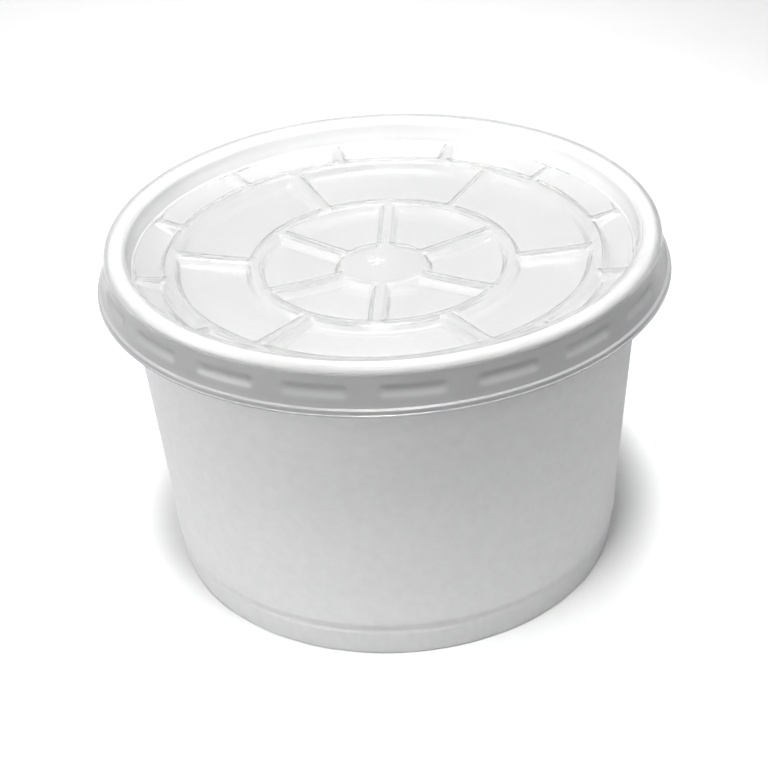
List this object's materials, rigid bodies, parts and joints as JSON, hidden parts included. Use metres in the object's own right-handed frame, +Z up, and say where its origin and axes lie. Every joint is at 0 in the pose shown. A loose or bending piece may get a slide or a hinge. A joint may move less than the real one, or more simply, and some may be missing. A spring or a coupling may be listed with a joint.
{
  "type": "takeaway soup container",
  "caption": "Round lidded paper soup tub: tapered white wall, crimped foot band, rolled rim and a clear press-on lid with a ribbed, dished panel.",
  "frame": {"origin": "centre of the circle that the foot of the tub stands on; z = 0 is the surface it stands on", "axes": "+Z up along the axis of the tub, with the lid at the top; -Y is the front, the side the picture was taken from, and +X is the right side seen from there"},
  "size_m": [0.12, 0.12, 0.0754],
  "materials": {
    "coated_paper": "smooth white coated paperboard, satin",
    "clear_plastic": "clear, slightly milky polypropylene, glossy"
  },
  "bodies": {
    "root": {"tub": "coated_paper", "lid": "clear_plastic"}
  },
  "joints": []
}
